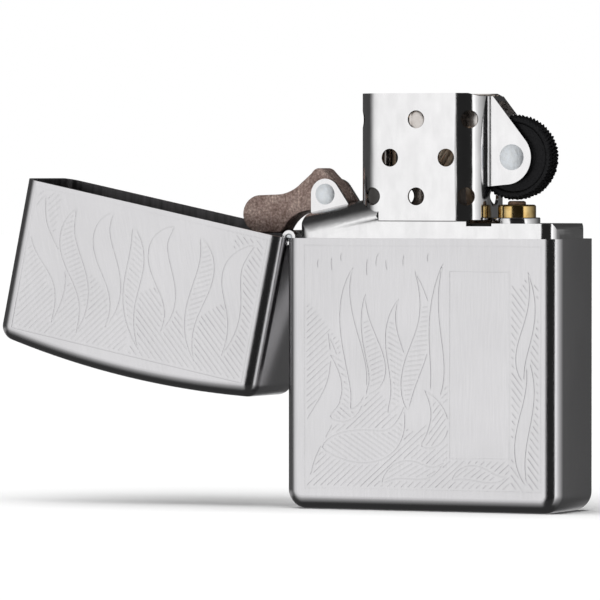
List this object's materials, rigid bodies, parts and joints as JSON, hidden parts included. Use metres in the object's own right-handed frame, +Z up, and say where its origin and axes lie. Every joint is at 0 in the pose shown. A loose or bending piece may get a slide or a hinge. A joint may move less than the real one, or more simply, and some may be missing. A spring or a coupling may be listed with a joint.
{
  "type": "flip-top pocket lighter",
  "caption": "Flip-top windproof pocket lighter with its hinged lid open: engraved metal case, perforated chimney, flint wheel and cam on a pull-out insert.",
  "frame": {"origin": "middle of the case's flat bottom", "axes": "+X towards the flint wheel (the hinge is at -X), +Y from the engraved front to the back, +Z up"},
  "size_m": [0.0796, 0.013, 0.0535],
  "materials": {
    "satin_chrome": "satin, brushed, engraved line pattern on the fronts",
    "bright_steel": "polished sheet steel",
    "rivet_steel": "bright domed rivet heads",
    "spring_steel": "plain spring steel",
    "tube_brass": "polished brass",
    "wick_cotton": "woven cotton with fine wire",
    "packing_cotton": "loose cotton",
    "pad_felt": "pressed felt",
    "sintered_bronze": "dull brown sintered metal, speckled",
    "hardened_steel": "blackened, file-cut rim",
    "flint_alloy": "dull grey"
  },
  "bodies": {
    "case": {"case_shell": "satin_chrome", "case_hinge_leaf": "bright_steel", "hinge_pin": "bright_steel"},
    "lid": {"lid_shell": "satin_chrome", "lid_hinge_leaf": "bright_steel"},
    "insert": {"insert_shell": "bright_steel", "top_plate": "bright_steel", "cam_bracket": "bright_steel", "chimney": "bright_steel", "cam_rivet": "rivet_steel", "cam_spring": "spring_steel", "cam_spring_rivet": "rivet_steel", "wheel_rivet": "rivet_steel", "flint_tube": "tube_brass", "flint_tube_washer": "bright_steel", "wick": "wick_cotton", "cotton_packing": "packing_cotton", "felt_pad": "pad_felt"},
    "cam": {"cam": "sintered_bronze"},
    "wheel": {"flint_wheel": "hardened_steel"},
    "flint_feed": {"flint": "flint_alloy", "flint_plunger": "tube_brass"},
    "feed_spring": {"flint_spring": "spring_steel"},
    "screw": {"flint_screw": "tube_brass"}
  },
  "joints": [
    {"name": "lid_hinge", "type": "hinge", "parent": "case", "child": "lid", "pos_m": [-0.01915, 0, 0.03495], "axis": [0, -1, 0], "range_deg": [-168.4, 0]},
    {"name": "insert_lift", "type": "slide", "parent": "case", "child": "insert", "axis": [0, 0, 1], "range_m": [0, 0.036]},
    {"name": "cam_pivot", "type": "hinge", "parent": "insert", "child": "cam", "pos_m": [-0.0152, 0, 0.04055], "axis": [0, -1, 0], "range_deg": [-107.1, 0]},
    {"name": "wheel_spin", "type": "hinge", "parent": "insert", "child": "wheel", "pos_m": [0.01075, 0, 0.0453], "axis": [0, 1, 0], "continuous": true},
    {"name": "flint_advance", "type": "slide", "parent": "insert", "child": "flint_feed", "axis": [0, 0, 1], "range_m": [-0.002, 0], "stiffness_N_per_m": 150, "springref_m": 0.013, "deforming": ["flint_spring"]},
    {"name": "screw_travel", "type": "slide", "parent": "insert", "child": "feed_spring", "axis": [0, 0, 1], "range_m": [-0.0005, 0]},
    {"name": "screw_turn", "type": "hinge", "parent": "feed_spring", "child": "screw", "pos_m": [0.01075, 0, 0.0066], "axis": [0, 0, 1], "range_deg": [-360, 0]}
  ],
  "couplings": [
    {"joint": "cam_pivot", "follows": "lid_hinge", "ratio": 0.6354},
    {"joint": "screw_turn", "follows": "screw_travel", "rad_per_m": 12566}
  ]
}
